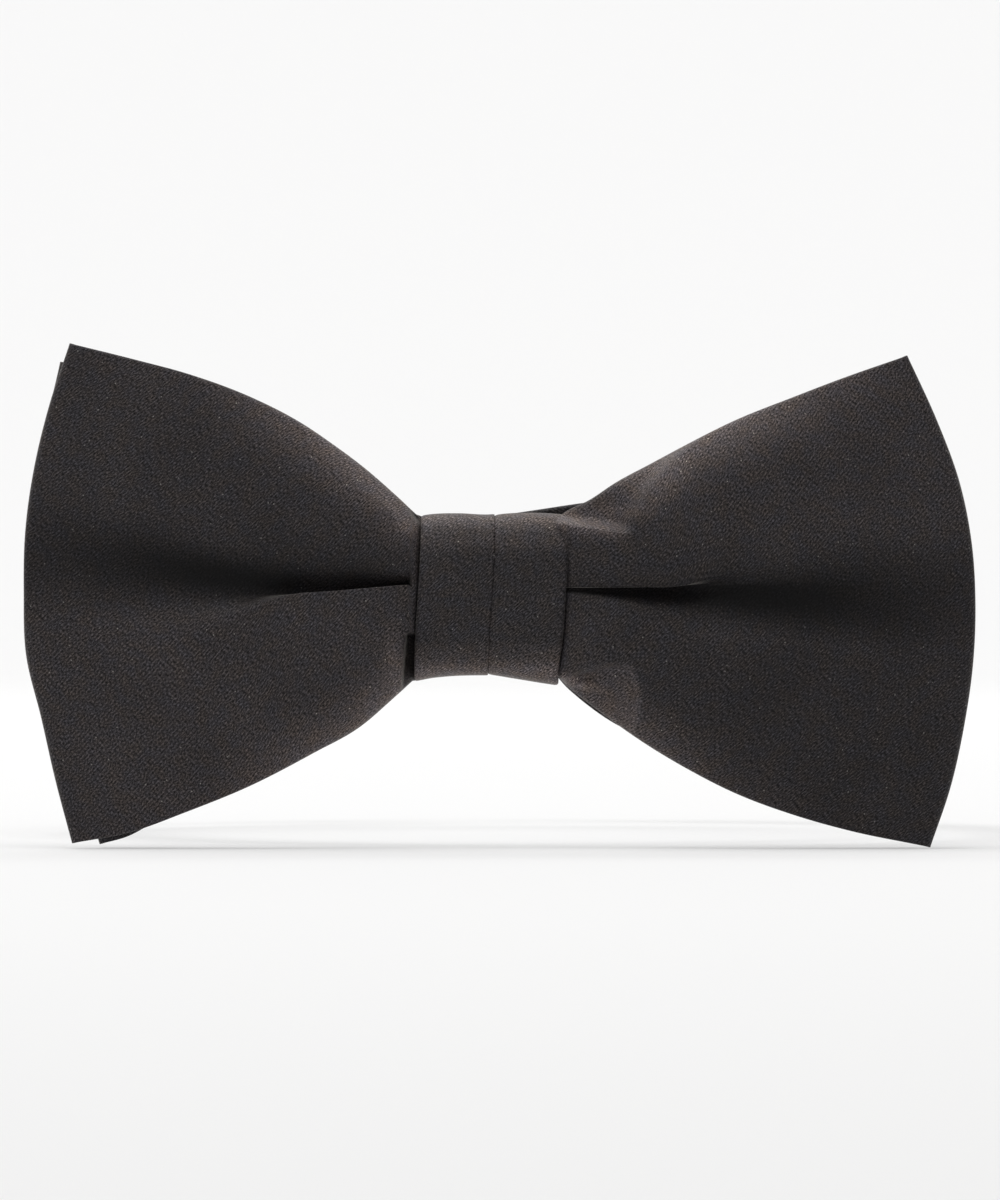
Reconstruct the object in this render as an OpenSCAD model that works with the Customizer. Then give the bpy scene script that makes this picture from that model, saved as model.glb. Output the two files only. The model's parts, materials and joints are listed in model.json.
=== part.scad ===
// Pre-tied bow tie on an adjustable neckband with a slider, a hook and an eye.
// Origin: centre of the neck loop at the middle of the band's width. +Z is up the neck.
// The bow faces -Y, so +X is to the right of someone looking at the bow.
// The clasp is drawn unhooked: the hook and the eye face each other across a small gap.

/* [Bow] */
// Width of the bow from one outer edge to the other
bow_w = 120; // [112:1:124]
// Height of the bow between its outer corners
bow_h = 63; // [58:1:68]
// Thickness of one bow layer: satin, interlining, satin
layer_t = 1.3; // [1.2:0.05:1.4]
// Thickness of the satin
satin_t = 0.35; // [0.25:0.05:0.4]
// How far the front layer of the bow swells forward
swell = 6; // [3:0.5:8]

/* [Knot] */
// Width of the knot
knot_w = 18.6; // [16:0.2:20]
// Height of the knot
knot_h = 21.4; // [20.8:0.2:24]
// Step in the knot's front where its left pleat laps over its right one
pleat_step = 0.5; // [0.2:0.1:0.8]

/* [Neckband] */
// Girth that the closed-up neckband goes round
neck_girth = 380; // [370:1:384]
// Width of the neckband
band_w = 20; // [18:0.5:20]
// Thickness of the neckband
band_t = 1.3; // [1.2:0.05:1.3]
// Tilt of the piece of neckband that is sewn behind the knot, in degrees
band_tilt = 8.5; // [0:0.5:9]
// Where the slider stands, in degrees round the neck from the front
slider_at = 110; // [95:1:112]
// Where the strap ends hold the hook and the eye, in degrees round the neck
clasp_at = 162; // [160:0.5:163]

/* [Metalwork] */
// Radius of the wire of the slider, hook and eye where it takes a strap
wire_r = 0.75; // [0.7:0.05:0.8]
// Length of the eye between its two bars
eye_l = 11; // [9:0.5:12]
// Length of the hook from its bar to its nose
hook_l = 22; // [18:0.5:22.5]
// Width of the hook's tongue
tongue_w = 8; // [6:0.5:10]

/* [Hidden] */
$fn = 64;

satin = [0.19, 0.18, 0.18];
lining = [0.32, 0.31, 0.30];
thread = [0.08, 0.08, 0.08];
metal = [0.16, 0.16, 0.17];

neck_r = neck_girth / 360 * 180 / PI; // inside radius of the neckband
sx = bow_w / 120;
sz = bow_h / 63;

// Depths are distances in front of the neck's axis, from the back of the knot to its front.
play = 0.1;      // play between pieces that lie on each other
thread_d = 0.5;  // diameter of the sewing thread
band_back = neck_r + 0.6;                       // band centre piece, its back face
wrap_back = band_back + band_t + thread_d + play; // knot wrap, its back face
wrap_t = layer_t;
stack = wrap_back + wrap_t + play;              // gathering thread, its back
root = stack + thread_d + play;                 // back of the rear bow at the knot
layer_step = layer_t + 0.9;
rear_back = root + layer_t / 2;
rear_front = rear_back + layer_step;
front_back = rear_front + layer_step;
front_front = front_back + layer_step + 0.35;
wrap_front = front_front + layer_t / 2 + thread_d + 2 * play; // inside of the wrap's front ply
knot_r = 3;                                     // corner radius of the knot's section
root_h = knot_h / 2 - wrap_t - thread_d - 0.7;  // half height of the gathered bows at the knot
root_x = knot_w / 2 - 0.3;

// ---- Bow -----------------------------------------------------------------------------
// A wing is [side, top corner, bottom corner, bulge of the outer edge,
//            two control points of the top edge, two of the bottom edge], as [x, z] pairs.
front_wings = [
    [1, [52.3, 30.4], [55.2, -31.6], 7.3, [[20, 18.5], [36, 25.3]], [[19, -19.5], [35, -27.2]]],
    [-1, [53.4, 32.0], [53.0, -30.9], 5.7, [[20, 22], [34, 28.2]], [[18, -18.5], [32, -25]]]];
rear_wings = [
    [1, [50.6, 28.8], [54.3, -31.0], 7.0, [[20, 17.5], [36, 24]], [[19, -19], [35, -26.5]]],
    [-1, [54.3, 29.7], [49.3, -30.9], 6.0, [[20, 20.5], [34, 26]], [[17, -18.5], [31, -25.6]]]];

function bezier(a, b, c, d, t) =
    pow(1 - t, 3) * a + 3 * t * pow(1 - t, 2) * b + 3 * t * t * (1 - t) * c + pow(t, 3) * d;
function scaled(p) = [p.x * sx, p.y * sz];
function edge(wing, top, u) = let (s = top ? 1 : -1, ctrl = wing[top ? 4 : 5])
    bezier([root_x, s * root_h], scaled(ctrl[0]), scaled(ctrl[1]), scaled(wing[top ? 1 : 2]), u);

// Point [x, z] on a wing: u runs from the knot to the outer edge, v from bottom (-1) to top (1).
function wing_xz(wing, u, v, inset) =
    let (top = edge(wing, true, u), bottom = edge(wing, false, u),
         k = v * (1 - inset / ((top.y - bottom.y) / 2)),
         p = bottom + (top - bottom) * (k + 1) / 2)
    [p.x + wing[3] * sx * (1 - v * v) * u * u, p.y];

// A bow's loop in plan: depths at the knot and at the outer fold, the fold's radius,
// the swell of its front layer, and how much of that swell its crease takes away.
front_plan = [front_front, front_back, (front_front + front_back) / 2 + 2.2, 1.6, swell, 0.55];
rear_plan = [rear_front, rear_back, (rear_front + rear_back) / 2 + 1.7, 1.3, 0.8, 0];

function crease(plan, u, v) = plan[5] * (1 - u) * exp(-pow(v / 0.28, 2));
function layer_depth(plan, front, u, v) =
    let (at_root = plan[front ? 0 : 1], at_tip = plan[2] + (front ? 1 : -1) * plan[3])
    at_root + (at_tip - at_root) * u
    + (front ? plan[4] * sin(180 * pow(u, 0.8)) * (1 - 0.35 * v * v - crease(plan, u, v)) : 0);

u_steps = 9;
v_steps = 6;
fold_steps = 4;
function layer_column(wing, plan, front, u, inset) =
    [for (j = [0:v_steps]) let (v = 2 * j / v_steps - 1, p = wing_xz(wing, u, v, inset))
        [wing[0] * (p.x - (plan[3] + layer_t / 2) * u), -layer_depth(plan, front, u, v), p.y]];
function fold_column(wing, plan, a, inset) =
    [for (j = [0:v_steps]) let (v = 2 * j / v_steps - 1, p = wing_xz(wing, 1, v, inset))
        [wing[0] * (p.x - layer_t / 2 - plan[3] * (1 - cos(a))), -(plan[2] + plan[3] * sin(a)), p.y]];
function centre_column(plan, front, inset) =
    [for (j = [0:v_steps]) [0, -plan[front ? 0 : 1], (root_h - inset) * (2 * j / v_steps - 1)]];

// Columns of points once round the loop of cloth: front, right fold, back, left fold, front.
function loop_columns(wings, plan, inset) = concat(
    [centre_column(plan, true, inset)],
    [for (i = [0:u_steps - 1]) layer_column(wings[0], plan, true, i / u_steps, inset)],
    [for (i = [0:fold_steps]) fold_column(wings[0], plan, 90 - 180 * i / fold_steps, inset)],
    [for (i = [u_steps - 1:-1:0]) layer_column(wings[0], plan, false, i / u_steps, inset)],
    [centre_column(plan, false, inset)],
    [for (i = [0:u_steps - 1]) layer_column(wings[1], plan, false, i / u_steps, inset)],
    [for (i = [0:fold_steps]) fold_column(wings[1], plan, -90 + 180 * i / fold_steps, inset)],
    [for (i = [u_steps - 1:-1:0]) layer_column(wings[1], plan, true, i / u_steps, inset)]);

// A ring of cloth of thickness t along those columns, as one closed solid.
module cloth_loop(wings, plan, t, inset) {
    columns = loop_columns(wings, plan, inset);
    n = len(columns);
    m = 2 * (v_steps + 1);
    function plan_normal(i, j) =
        let (d = columns[(i + 1) % n][j] - columns[(i + n - 1) % n][j])
        [d.y, -d.x, 0] / norm([d.x, d.y]);
    points = [for (i = [0:n - 1]) for (k = [0:m - 1])
        let (inner = k > v_steps, j = inner ? m - 1 - k : k)
        columns[i][j] + plan_normal(i, j) * (inner ? -t / 2 : t / 2)];
    faces = [for (i = [0:n - 1]) for (k = [0:m - 1])
        let (a = i * m + k, b = i * m + (k + 1) % m, c = ((i + 1) % n) * m + (k + 1) % m,
             d = ((i + 1) % n) * m + k)
        each [[a, b, c], [a, c, d]]];
    polyhedron(points, faces);
}

module bow_cover(wings, plan) {
    color(satin) difference() {
        cloth_loop(wings, plan, layer_t, 0);
        cloth_loop(wings, plan, layer_t - 2 * satin_t, satin_t);
    }
}

module bow_interlining(wings, plan) {
    color(lining) cloth_loop(wings, plan, layer_t - 2 * satin_t - 0.1, satin_t + 0.1);
}

module front_bow_cover() bow_cover(front_wings, front_plan);
module front_bow_interlining() bow_interlining(front_wings, front_plan);
module rear_bow_cover() bow_cover(rear_wings, rear_plan);
module rear_bow_interlining() bow_interlining(rear_wings, rear_plan);

// ---- Knot ----------------------------------------------------------------------------
// Rounded rectangle in the Y-Z plane between two depths, extruded along X.
module knot_block(back, front, half_h, r, x0, x1) {
    translate([x0, 0, 0]) rotate([90, 0, 90]) linear_extrude(x1 - x0) {
        translate([-front, -half_h + r]) square([front - back, 2 * (half_h - r)]);
        translate([-front + r, -half_h]) square([front - back - 2 * r, 2 * half_h]);
        for (y = [-front + r, -back - r]) for (z = [-half_h + r, half_h - r])
            translate([y, z]) circle(r);
    }
}

// A hollow sleeve: the block less the block that lies t inside it.
module knot_sleeve(back, front, half_h, r, x0, x1, t) {
    difference() {
        knot_block(back, front, half_h, r, x0, x1);
        knot_block(back + t, front - t, half_h - t, r - t, x0 - 1, x1 + 1);
    }
}

// The wrap's two pleats: the left one stands a step proud of the right one.
module wrap_sleeve(grow, end) {
    half = knot_w / 2 - end;
    back = wrap_back - grow;
    front = wrap_front + wrap_t + grow;
    difference() {
        union() {
            knot_block(back, front, knot_h / 2 + grow, knot_r, -half, half);
            knot_block(back, front + pleat_step, knot_h / 2 + grow, knot_r, -half, 0);
        }
        knot_block(wrap_back + wrap_t + grow, wrap_front - grow, knot_h / 2 - wrap_t - grow,
                   knot_r - wrap_t, -half - 1, half + 1);
    }
}

module knot_wrap() {
    color(satin) difference() {
        wrap_sleeve(0, 0);
        wrap_sleeve(-satin_t, satin_t);
    }
}

module knot_interlining() {
    color(lining) wrap_sleeve(-satin_t - 0.05, satin_t + 0.05);
}

// Five turns of thread that draw the two bows together inside the knot.
module gather_thread() {
    turns = 5;
    pitch = 1.1;
    color(thread) for (i = [0:turns - 1])
        translate([(i - (turns - 1) / 2) * pitch, 0, 0])
            knot_sleeve(stack, wrap_front - play, root_h + thread_d + play, thread_d + play,
                        -thread_d / 2, thread_d / 2, thread_d);
}

// Slip stitches that close the wrap's seam behind the knot.
module knot_closing_stitches() {
    count = 6;
    pitch = 2.8;
    color(thread) for (i = [0:count - 1])
        translate([0, -(wrap_back - thread_d / 2 - 0.02), (i - (count - 1) / 2) * pitch])
            rotate([0, 90, 0]) cylinder(d = thread_d, h = 2.4, center = true, $fn = 16);
}

// ---- Neckband ------------------------------------------------------------------------
module band_arc(from, to, r0, r1, w) {
    rotate([0, 0, from - 90]) rotate_extrude(angle = to - from, $fn = 180)
        translate([r0, -w / 2]) square([r1 - r0, w]);
}

// Places its children at an angle round the neck: +X runs round the neck, -Y points out.
module at(angle, r) rotate([0, 0, angle]) translate([0, -r, 0]) children();

module band_centre_block(shrink) {
    half = root_x + 1.9;
    translate([0, -band_back - band_t / 2, 0]) rotate([0, -band_tilt, 0])
        cube([2 * (half - shrink), band_t - 2 * shrink, band_w - 2 * shrink], center = true);
}

module band_centre_cover() {
    color(satin) difference() {
        band_centre_block(0);
        band_centre_block(satin_t);
    }
}

module band_centre_interlining() color(lining) band_centre_block(satin_t + 0.05);

// Hand stitches that hold the band to the knot's back: two rows of four.
module band_tack_stitches() {
    color(thread) translate([0, -band_back + thread_d / 2 + 0.02, 0]) rotate([0, -band_tilt, 0])
        for (x = [-6, 6]) for (i = [0:3])
            translate([x, 0, (i - 1.5) * 4.2]) cylinder(d = thread_d, h = 2.6, center = true, $fn = 16);
}

band_from = 11;      // where the two halves of the band begin, beside the knot
loop_r = wire_r + 0.05;      // bore of the strap loops round the wires
eye_pivot_r = neck_r + loop_r + band_t + 0.1;
return_l = 12;       // degrees of strap turned back and sewn down at the eye

// A flat ring sector, as seen from above.
module sector(from, to, r0, r1) {
    reach = 2 * neck_r;
    steps = 6;
    intersection() {
        difference() {
            circle(r1, $fn = 180);
            circle(r0, $fn = 180);
        }
        polygon(concat([[0, 0]], [for (i = [0:steps]) let (a = from + (to - from) * i / steps)
            reach * [sin(a), -cos(a)]]));
    }
}

// The short half goes round the wearer's right side, so it is built on +X and mirrored.
module short_band_cover() {
    end = clasp_at - 0.9;
    color(satin) mirror([1, 0, 0]) {
        difference() {
            linear_extrude(band_w, center = true) difference() {
                union() {
                    sector(band_from, end, neck_r, neck_r + band_t);
                    sector(end - return_l, end - 0.4, neck_r + band_t - 0.05,
                           neck_r + 2 * band_t - 0.05);
                    at(clasp_at, eye_pivot_r) circle(loop_r + band_t);
                }
                at(clasp_at, eye_pivot_r) circle(loop_r);
            }
            band_arc(band_from + 0.4, end - return_l - 1, neck_r + satin_t,
                     neck_r + band_t - satin_t, band_w - 2 * satin_t);
        }
    }
}

module short_band_interlining() {
    color(lining) mirror([1, 0, 0])
        band_arc(band_from + 0.5, clasp_at - return_l - 2, neck_r + satin_t + 0.05,
                 neck_r + band_t - satin_t - 0.05, band_w - 2 * satin_t - 0.1);
}

// A row of stitches, along the strap's width, on a face at radius r.
module stitch_row(angle, r, count, pitch, l) {
    for (i = [0:count - 1])
        at(angle, r + thread_d / 2 + 0.02) translate([0, 0, (i - (count - 1) / 2) * pitch])
            cylinder(d = thread_d, h = l, center = true, $fn = 16);
}

module short_band_stitches() {
    color(thread) mirror([1, 0, 0]) for (a = [2, 9])
        stitch_row(clasp_at - 1 - return_l + a, neck_r + 2 * band_t - 0.05, 5, 3.6, 2.5);
}

module long_band_cover() {
    color(satin) difference() {
        band_arc(band_from, slider_at + 13.5, neck_r, neck_r + band_t, band_w);
        band_arc(band_from + 0.4, slider_at + 13.1, neck_r + satin_t, neck_r + band_t - satin_t,
                 band_w - 2 * satin_t);
    }
}

module long_band_interlining() {
    color(lining) band_arc(band_from + 0.5, slider_at + 13, neck_r + satin_t + 0.05,
                           neck_r + band_t - satin_t - 0.05, band_w - 2 * satin_t - 0.1);
}

// Outer and inner plies of the long strap past the slider, joined round the hook's bar.
return_t = 1.2;
inner_ply = neck_r + band_t + 0.15;
outer_ply = inner_ply + return_t + 0.15;
hook_pivot_r = outer_ply - 0.075;
return_from = slider_at + 8;
module long_band_return() {
    end = clasp_at - 1.2;
    color(satin) linear_extrude(band_w, center = true) difference() {
        union() {
            sector(return_from, end, inner_ply, inner_ply + return_t);
            sector(return_from, end, outer_ply, outer_ply + return_t);
            at(clasp_at, hook_pivot_r) circle(loop_r + return_t);
        }
        at(clasp_at, hook_pivot_r) circle(loop_r);
    }
}

// ---- Slider --------------------------------------------------------------------------
bar_gap = 6.2;       // from the slider's middle bar to each outer one
rail_z = band_w / 2 + 1.1;
frame_r = wire_r + 0.05;
low_bar = neck_r + band_t + frame_r - 0.1;   // outer bar on the knot's side
high_bar = outer_ply + return_t + frame_r - 0.15; // outer bar on the hook's side
slider_r = (low_bar + high_bar) / 2;
slider_tilt = atan((high_bar - low_bar) / (2 * bar_gap));

module at_slider() at(slider_at, slider_r) rotate([0, 0, -slider_tilt]) children();

module wire_x(l, r) rotate([0, 90, 0]) cylinder(r = r, h = l, center = true);

module slider_frame() {
    color(metal) at_slider() {
        cylinder(r = wire_r, h = 2 * rail_z, center = true);
        for (x = [-bar_gap, bar_gap]) translate([x, 0, 0]) {
            cylinder(r = frame_r, h = 2 * rail_z, center = true);
            for (z = [-rail_z, rail_z]) translate([0, 0, z]) sphere(frame_r);
        }
        for (z = [-rail_z, rail_z]) translate([0, 0, z]) wire_x(2 * bar_gap, frame_r);
    }
}

// The end of the strap, sewn in a loop round the slider's middle bar, with its tail on the hook's side.
loop_t = 0.85;
tail_from = 0.6;
tail_to = 4.2;
tail_in = 0.75;      // how far the tail's outer face lies inside the bar's centre
module slider_loop() {
    color(satin) difference() {
        union() {
            at_slider() cylinder(r = loop_r + loop_t, h = band_w, center = true);
            at(slider_at, slider_r) translate([tail_from, tail_in, -band_w / 2])
                cube([tail_to - tail_from, loop_t, band_w]);
        }
        at_slider() cylinder(r = loop_r, h = band_w + 1, center = true);
    }
}

module slider_loop_stitches() {
    count = 5;
    color(thread) for (i = [0:count - 1]) at(slider_at, slider_r)
        translate([tail_to - 1.2, tail_in - thread_d / 2 - 0.02, (i - (count - 1) / 2) * 3.6])
            cylinder(d = thread_d, h = 2.5, center = true, $fn = 16);
}

// Where the long strap arches over the middle bar and its loop.
module band_over_slider() {
    inner = loop_r + loop_t + 0.15;
    outer = inner + 1;
    feet_at = 0.4;       // where the arch's two feet end, inside the bar's centre
    color(satin) at_slider() difference() {
        cylinder(r = outer, h = band_w, center = true);
        cylinder(r = inner, h = band_w + 1, center = true);
        translate([-2 * outer, feet_at, -band_w]) cube([4 * outer, 2 * outer, 2 * band_w]);
    }
}

// ---- Clasp ---------------------------------------------------------------------------
clasp_wire_z = band_w / 2 + 1.2;

// The eye hangs on the short strap: a wire rectangle, one bar in the strap's loop.
module eye() {
    inward = 5;
    color(metal) mirror([1, 0, 0]) at(clasp_at, eye_pivot_r) rotate([0, 0, inward]) {
        cylinder(r = wire_r, h = 2 * clasp_wire_z, center = true);
        translate([eye_l, 0, 0]) cylinder(r = wire_r, h = 2 * clasp_wire_z, center = true);
        for (z = [-clasp_wire_z, clasp_wire_z]) {
            translate([eye_l / 2, 0, z]) wire_x(eye_l, wire_r);
            for (x = [0, eye_l]) translate([x, 0, z]) sphere(wire_r);
        }
    }
}

// The hook hangs on the long strap: a wire bow, a plate, and a tongue bent back outwards.
module hook() {
    inward = 9;
    plate_t = 1;
    plate_from = 4.2;
    bend_r = 1.9;            // outside radius of the bend at the nose
    nose = hook_l - bend_r;
    tongue_l = 6.5;
    color(metal) at(clasp_at, hook_pivot_r) rotate([0, 0, inward]) {
        cylinder(r = wire_r, h = 2 * clasp_wire_z, center = true);
        for (z = [-clasp_wire_z, clasp_wire_z]) {
            translate([plate_from / 2, 0, z]) wire_x(plate_from, wire_r);
            translate([0, 0, z]) sphere(wire_r);
            translate([plate_from, 0, z]) sphere(wire_r);
        }
        translate([plate_from, 0, 0]) cylinder(r = wire_r, h = 2 * clasp_wire_z, center = true);
        translate([plate_from, -plate_t / 2, -tongue_w / 2])
            cube([nose - plate_from, plate_t, tongue_w]);
        translate([nose, -bend_r + plate_t / 2, 0]) rotate([0, 0, -90])
            rotate_extrude(angle = 180) translate([bend_r - plate_t, -tongue_w / 2])
                square([plate_t, tongue_w]);
        translate([nose - tongue_l, -2 * bend_r + plate_t / 2, -tongue_w / 2])
            cube([tongue_l, plate_t, tongue_w]);
    }
}

front_bow_cover();
front_bow_interlining();
rear_bow_cover();
rear_bow_interlining();
gather_thread();
knot_wrap();
knot_interlining();
knot_closing_stitches();
band_centre_cover();
band_centre_interlining();
band_tack_stitches();
short_band_cover();
short_band_interlining();
short_band_stitches();
eye();
long_band_cover();
long_band_interlining();
slider_frame();
band_over_slider();
slider_loop();
slider_loop_stitches();
long_band_return();
hook();
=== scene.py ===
import json
import math
from types import SimpleNamespace

import bmesh
import bpy
import numpy as np
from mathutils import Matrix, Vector


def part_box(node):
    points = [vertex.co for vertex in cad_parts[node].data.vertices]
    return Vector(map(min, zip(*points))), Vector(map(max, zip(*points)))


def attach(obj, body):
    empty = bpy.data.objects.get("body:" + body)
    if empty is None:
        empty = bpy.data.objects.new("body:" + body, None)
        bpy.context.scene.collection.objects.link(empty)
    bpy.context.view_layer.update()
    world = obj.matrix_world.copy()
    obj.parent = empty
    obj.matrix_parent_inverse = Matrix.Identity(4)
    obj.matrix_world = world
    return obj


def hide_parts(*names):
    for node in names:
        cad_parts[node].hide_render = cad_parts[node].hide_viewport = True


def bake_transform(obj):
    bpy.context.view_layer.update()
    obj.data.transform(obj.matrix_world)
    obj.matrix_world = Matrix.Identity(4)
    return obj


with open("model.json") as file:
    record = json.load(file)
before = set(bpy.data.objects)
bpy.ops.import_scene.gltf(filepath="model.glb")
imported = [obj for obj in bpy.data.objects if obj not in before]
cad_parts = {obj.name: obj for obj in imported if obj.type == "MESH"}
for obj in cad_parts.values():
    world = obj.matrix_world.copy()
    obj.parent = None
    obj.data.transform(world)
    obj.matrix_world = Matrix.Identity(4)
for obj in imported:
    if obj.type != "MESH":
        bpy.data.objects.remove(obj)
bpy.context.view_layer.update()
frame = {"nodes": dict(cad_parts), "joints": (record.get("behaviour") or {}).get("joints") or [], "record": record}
MM = 0.001

# ---- Places from the CAD frame, in millimetres


def mm_box(node):
    low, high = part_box(node)
    return np.array(low) / MM, np.array(high) / MM


knot_low, knot_high = mm_box("knot_wrap")
thread_low, thread_high = mm_box("gather_thread")
bow_low = mm_box("front_bow_cover")[0]
band_high = mm_box("band_centre_cover")[1]
JOINTS = {j["name"]: j for j in frame["joints"]}
NECK_R = frame["record"]["mounts"][0]["dims"]["r_mm"]
SWING_X, SWING_Y = (c / MM for c in JOINTS["long_band_swing"]["pos_m"][:2])
EYE_X, EYE_Y = (c / MM for c in JOINTS["eye_pivot"]["pos_m"][:2])
HOOK_X, HOOK_Y = (c / MM for c in JOINTS["hook_pivot"]["pos_m"][:2])

# Forward depths (along -Y) of the cloth at the knot.
KNOT_FRONT = -knot_low[1]
KNOT_BACK = -knot_high[1]
FRONT_FACE = -thread_low[1] - 0.6          # outer face of the front bow's front layer
REAR_BACK = -thread_high[1] + 0.6          # outer face of the rear bow's back layer
BAND_BACK = -band_high[1]

# ---- Camera, floor and light

PICTURE_MM = 125.9        # width of the picture at the front of the bow
BOW_PLANE_Y = -76.0
VIEW_FROM_MM = 1150.0
SENSOR_MM = 36.0
FLOOR_Z = bow_low[2] - 0.1


def add_object(name, data):
    obj = bpy.data.objects.new(name, data)
    bpy.context.scene.collection.objects.link(obj)
    return obj


def make_camera():
    data = bpy.data.cameras.new("camera")
    data.sensor_fit = "HORIZONTAL"
    data.sensor_width = SENSOR_MM
    data.lens = SENSOR_MM * VIEW_FROM_MM / PICTURE_MM
    data.clip_end = 20.0
    camera = add_object("camera", data)
    camera.location = (1.0 * MM, (BOW_PLANE_Y - VIEW_FROM_MM) * MM, -0.3 * MM)
    camera.rotation_euler = (math.pi / 2, 0, 0)
    bpy.context.scene.camera = camera


def area_light(name, place, target, size, watts):
    data = bpy.data.lights.new(name, "AREA")
    data.shape = "RECTANGLE"
    data.size, data.size_y = size
    data.energy = watts
    lamp = add_object(name, data)
    lamp.location = place
    lamp.rotation_euler = (Vector(target) - Vector(place)).to_track_quat("-Z", "Y").to_euler()


def make_floor(paper):
    """A pale floor that curves up into a low wall all round."""
    reach, bend, rise, sides = 2.2, 0.6, 1.0, 64
    profile = [(r, 0.0) for r in (0.4, 0.9, 1.5, reach)]
    profile += [(reach + bend * math.sin(a), bend * (1 - math.cos(a)))
                for a in np.linspace(0.1, math.pi / 2, 12)]
    profile += [(reach + bend, rise)]
    turns = np.linspace(0, 2 * math.pi, sides, endpoint=False)
    verts = [(r * math.cos(t), r * math.sin(t), z + FLOOR_Z * MM) for r, z in profile for t in turns]
    faces = []
    for i in range(len(profile) - 1):
        near, far = i * sides, (i + 1) * sides
        for k in range(sides):
            after = (k + 1) % sides
            faces.append((near + k, far + k, far + after, near + after))
    faces += [(len(verts), k, (k + 1) % sides) for k in range(sides)]
    verts.append((0, 0, FLOOR_Z * MM))
    add_mesh("floor", verts, faces, paper)


def make_light():
    world = bpy.data.worlds.new("studio")
    bpy.context.scene.world = world
    world.use_nodes = True
    background = world.node_tree.nodes["Background"]
    background.inputs["Color"].default_value = (1.0, 0.985, 0.97, 1)
    background.inputs["Strength"].default_value = 0.28
    area_light("top_light", (-0.30, -0.22, 1.5), (0, -0.05, 0), (1.4, 1.0), 22)
    area_light("back_light", (0, 1.5, 1.6), (0, 2.1, 0.0), (3.0, 1.4), 34)
    bpy.context.scene.view_settings.view_transform = "Standard"


# ---- Materials


class Paint:
    """A material with one shader, and short ways to add nodes to it."""

    def __init__(self, name):
        self.material = bpy.data.materials.new(name)
        self.material.use_nodes = True
        self.tree = self.material.node_tree
        self.shader = self.tree.nodes["Principled BSDF"]

    def set(self, node, **inputs):
        """Sets a node's inputs, or links them. An underscore stands for a space in an input's name."""
        for name, value in inputs.items():
            socket = node.inputs[name.replace("_", " ")]
            if isinstance(value, bpy.types.NodeSocket):
                self.tree.links.new(value, socket)
            else:
                socket.default_value = value
        return node

    def add(self, kind, **inputs):
        return self.set(self.tree.nodes.new(kind), **inputs)

    def noise(self, source, scale, detail):
        return self.add("ShaderNodeTexNoise", Vector=source, Scale=scale, Detail=detail).outputs["Fac"]

    def wave(self, source, direction, **inputs):
        node = self.add("ShaderNodeTexWave", Vector=source, **inputs)
        node.wave_type, node.bands_direction = "BANDS", direction
        return node.outputs["Fac"]

    def ramp(self, source, first, *others):
        """A colour ramp through stops of (place, grey or colour)."""
        node = self.add("ShaderNodeValToRGB", Fac=source)
        elements = node.color_ramp.elements
        stops = [(place, (*(tone if isinstance(tone, tuple) else (tone,) * 3), 1))
                 for place, tone in (first, *others)]
        elements[0].position, elements[0].color = stops[0]
        elements[1].position, elements[1].color = stops[-1]
        for place, colour in stops[1:-1]:
            elements.new(place).color = colour
        return node.outputs["Color"]

    def mix(self, kind, factor, a, b):
        node = self.add("ShaderNodeMix")
        node.data_type = "RGBA"
        node.blend_type = kind
        return self.set(node, Factor=factor, A=a, B=b).outputs["Result"]

    def attribute(self, name):
        node = self.add("ShaderNodeAttribute")
        node.attribute_name = name
        return node.outputs["Fac"]

    def bump(self, height, strength, distance_mm, **inputs):
        node = self.add("ShaderNodeBump", Height=height, Strength=strength, **inputs)
        return self.set(node, Distance=distance_mm * MM).outputs["Normal"]


def paper_material():
    """The sweep glows a little, as paper lit evenly from all round does."""
    paint = Paint("pale_floor")
    paint.set(paint.shader, Base_Color=(0.40, 0.40, 0.40, 1), Roughness=0.9,
              Emission_Color=(1.0, 1.0, 1.0, 1), Emission_Strength=0.43)
    return paint.material


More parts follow.
